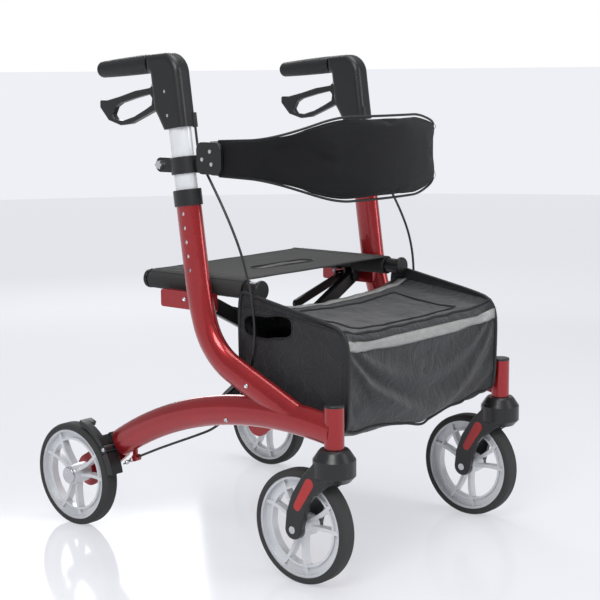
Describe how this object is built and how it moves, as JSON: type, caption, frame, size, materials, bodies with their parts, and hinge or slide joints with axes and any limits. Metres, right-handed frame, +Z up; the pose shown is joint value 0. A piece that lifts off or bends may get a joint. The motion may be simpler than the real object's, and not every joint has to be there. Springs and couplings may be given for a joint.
{
  "type": "rollator walker",
  "caption": "Folding rollator walker with red side frames, caster front wheels, loop brake levers, fabric seat, curved backrest band and a bag under the seat.",
  "frame": {"origin": "on the floor, under the middle of the whole walker", "axes": "+Z up, -Y towards the front casters, +X towards the user's left"},
  "size_m": [0.606, 0.759, 0.8994],
  "materials": {
    "red_paint": "gloss metallic",
    "red_insert": "satin",
    "black_plastic": "satin",
    "white_tube": "satin",
    "rubber_grip": "matt",
    "steel": "satin",
    "tyre_rubber": "matt",
    "rim_plastic": "satin",
    "black_metal": "satin",
    "cable_jacket": "satin",
    "seat_cloth": "woven",
    "bag_cloth": "nylon sheen"
  },
  "bodies": {
    "right_frame": {"side_frame_right": "red_paint", "frame_fittings_right": "black_plastic", "collar_right": "black_plastic", "rear_axle_right": "steel", "brake_bracket_right": "black_plastic", "brake_cable_right": "cable_jacket", "bag": "bag_cloth"},
    "left_frame": {"side_frame_left": "red_paint", "frame_fittings_left": "black_plastic", "collar_left": "black_plastic", "rear_axle_left": "steel", "brake_bracket_left": "black_plastic", "brake_cable_left": "cable_jacket"},
    "right_handle": {"handle_tube_right": "white_tube", "handle_shell_outer_right": "black_plastic", "handle_shell_inner_right": "black_plastic", "grip_right": "rubber_grip", "handle_screws_right": "steel", "back_clamp_right": "black_plastic", "back_plate_right": "black_plastic", "back_bolts_right": "steel", "backrest_band": "seat_cloth"},
    "right_lever": {"brake_lever_right": "black_plastic"},
    "right_button": {"height_button_right": "black_plastic"},
    "right_rail": {"seat_rail_right": "black_metal", "seat_fabric": "seat_cloth"},
    "right_link": {"guide_link_right": "black_metal"},
    "right_caster": {"caster_fork_right": "black_plastic", "fork_insert_right": "red_insert", "caster_stem_right": "steel", "front_axle_right": "steel"},
    "right_front_wheel": {"front_rim_right": "rim_plastic", "front_tyre_right": "tyre_rubber"},
    "right_rear_wheel": {"rear_rim_right": "rim_plastic", "rear_tyre_right": "tyre_rubber"},
    "right_brake": {"brake_arm_right": "black_plastic"},
    "left_handle": {"handle_tube_left": "white_tube", "handle_shell_outer_left": "black_plastic", "handle_shell_inner_left": "black_plastic", "grip_left": "rubber_grip", "handle_screws_left": "steel", "back_clamp_left": "black_plastic", "back_plate_left": "black_plastic", "back_bolts_left": "steel"},
    "left_lever": {"brake_lever_left": "black_plastic"},
    "left_button": {"height_button_left": "black_plastic"},
    "left_rail": {"seat_rail_left": "black_metal"},
    "left_link": {"guide_link_left": "black_metal"},
    "left_caster": {"caster_fork_left": "black_plastic", "fork_insert_left": "red_insert", "caster_stem_left": "steel", "front_axle_left": "steel"},
    "left_front_wheel": {"front_rim_left": "rim_plastic", "front_tyre_left": "tyre_rubber"},
    "left_rear_wheel": {"rear_rim_left": "rim_plastic", "rear_tyre_left": "tyre_rubber"},
    "left_brake": {"brake_arm_left": "black_plastic"},
    "bar_a": {"x_bar_a": "black_metal", "cross_pin": "steel"},
    "bar_b": {"x_bar_b": "black_metal"}
  },
  "joints": [
    {"name": "fold", "type": "hinge", "parent": "right_frame", "child": "bar_a", "pos_m": [-0.206, -0.0085, 0.245], "axis": [0, -1, 0], "range_deg": [0, 54], "deforming": ["bag", "backrest_band", "seat_fabric"]},
    {"name": "cross_pivot", "type": "hinge", "parent": "bar_a", "child": "bar_b", "pos_m": [0, -0.0085, 0.351], "axis": [0, -1, 0], "range_deg": [-108, 0]},
    {"name": "left_foot_pivot", "type": "hinge", "parent": "bar_b", "child": "left_frame", "pos_m": [0.206, -0.0085, 0.245], "axis": [0, -1, 0], "range_deg": [0, 54]},
    {"name": "left_rail_pivot", "type": "hinge", "parent": "bar_a", "child": "left_rail", "pos_m": [0.206, -0.0085, 0.457], "axis": [0, -1, 0], "range_deg": [-54, 0]},
    {"name": "right_rail_pivot", "type": "hinge", "parent": "bar_b", "child": "right_rail", "pos_m": [-0.206, -0.0085, 0.457], "axis": [0, -1, 0], "range_deg": [0, 54]},
    {"name": "right_link_pivot", "type": "hinge", "parent": "right_frame", "child": "right_link", "pos_m": [-0.214, 0.017, 0.453], "axis": [0, -1, 0], "range_deg": [0, 99.9]},
    {"name": "right_handle_height", "type": "slide", "parent": "right_frame", "child": "right_handle", "axis": [0, 0.1357, 0.9907], "range_m": [0, 0.1], "deforming": ["brake_cable_right"]},
    {"name": "right_button_out", "type": "slide", "parent": "right_handle", "child": "right_button", "axis": [-1, 0, 0], "range_m": [0, 0.005], "stiffness_N_per_m": 1500, "springref_m": 0.006},
    {"name": "right_brake_lever", "type": "hinge", "parent": "right_handle", "child": "right_lever", "pos_m": [-0.253, 0.054, 0.843], "axis": [1, 0, 0], "range_deg": [0, 13], "stiffness_Nm_per_rad": 1.5, "springref_deg": -14.32},
    {"name": "right_brake_shoe", "type": "hinge", "parent": "right_frame", "child": "right_brake", "pos_m": [-0.278, 0.187, 0.1635], "axis": [1, 0, 0], "range_deg": [0, 3.25]},
    {"name": "right_caster_swivel", "type": "hinge", "parent": "right_frame", "child": "right_caster", "pos_m": [-0.253, -0.343, 0.246], "axis": [0, 0, 1], "continuous": true},
    {"name": "right_front_wheel_spin", "type": "hinge", "parent": "right_caster", "child": "right_front_wheel", "pos_m": [-0.253, -0.2765, 0.1], "axis": [1, 0, 0], "continuous": true},
    {"name": "right_rear_wheel_spin", "type": "hinge", "parent": "right_frame", "child": "right_rear_wheel", "pos_m": [-0.278, 0.2795, 0.1], "axis": [1, 0, 0], "continuous": true},
    {"name": "left_link_pivot", "type": "hinge", "parent": "left_frame", "child": "left_link", "pos_m": [0.214, 0.017, 0.453], "axis": [0, 1, 0], "range_deg": [0, 99.9]},
    {"name": "left_handle_height", "type": "slide", "parent": "left_frame", "child": "left_handle", "axis": [0, 0.1357, 0.9907], "range_m": [0, 0.1], "deforming": ["brake_cable_left"]},
    {"name": "left_button_out", "type": "slide", "parent": "left_handle", "child": "left_button", "axis": [1, 0, 0], "range_m": [0, 0.005], "stiffness_N_per_m": 1500, "springref_m": 0.006},
    {"name": "left_brake_lever", "type": "hinge", "parent": "left_handle", "child": "left_lever", "pos_m": [0.253, 0.054, 0.843], "axis": [1, 0, 0], "range_deg": [0, 13], "stiffness_Nm_per_rad": 1.5, "springref_deg": -14.32},
    {"name": "left_brake_shoe", "type": "hinge", "parent": "left_frame", "child": "left_brake", "pos_m": [0.278, 0.187, 0.1635], "axis": [1, 0, 0], "range_deg": [0, 3.25]},
    {"name": "left_caster_swivel", "type": "hinge", "parent": "left_frame", "child": "left_caster", "pos_m": [0.253, -0.343, 0.246], "axis": [0, 0, 1], "continuous": true},
    {"name": "left_front_wheel_spin", "type": "hinge", "parent": "left_caster", "child": "left_front_wheel", "pos_m": [0.253, -0.2765, 0.1], "axis": [1, 0, 0], "continuous": true},
    {"name": "left_rear_wheel_spin", "type": "hinge", "parent": "left_frame", "child": "left_rear_wheel", "pos_m": [0.278, 0.2795, 0.1], "axis": [1, 0, 0], "continuous": true}
  ],
  "couplings": [
    {"joint": "cross_pivot", "follows": "fold", "ratio": -2},
    {"joint": "left_foot_pivot", "follows": "fold", "ratio": 1},
    {"joint": "left_rail_pivot", "follows": "fold", "ratio": -1},
    {"joint": "right_rail_pivot", "follows": "fold", "ratio": 1},
    {"joint": "right_link_pivot", "follows": "fold", "ratio": 1.85},
    {"joint": "right_brake_shoe", "follows": "right_brake_lever", "ratio": 0.25},
    {"joint": "left_link_pivot", "follows": "fold", "ratio": 1.85},
    {"joint": "left_brake_shoe", "follows": "left_brake_lever", "ratio": 0.25},
    {"joint": "left_handle_height", "follows": "right_handle_height", "ratio": 1}
  ]
}
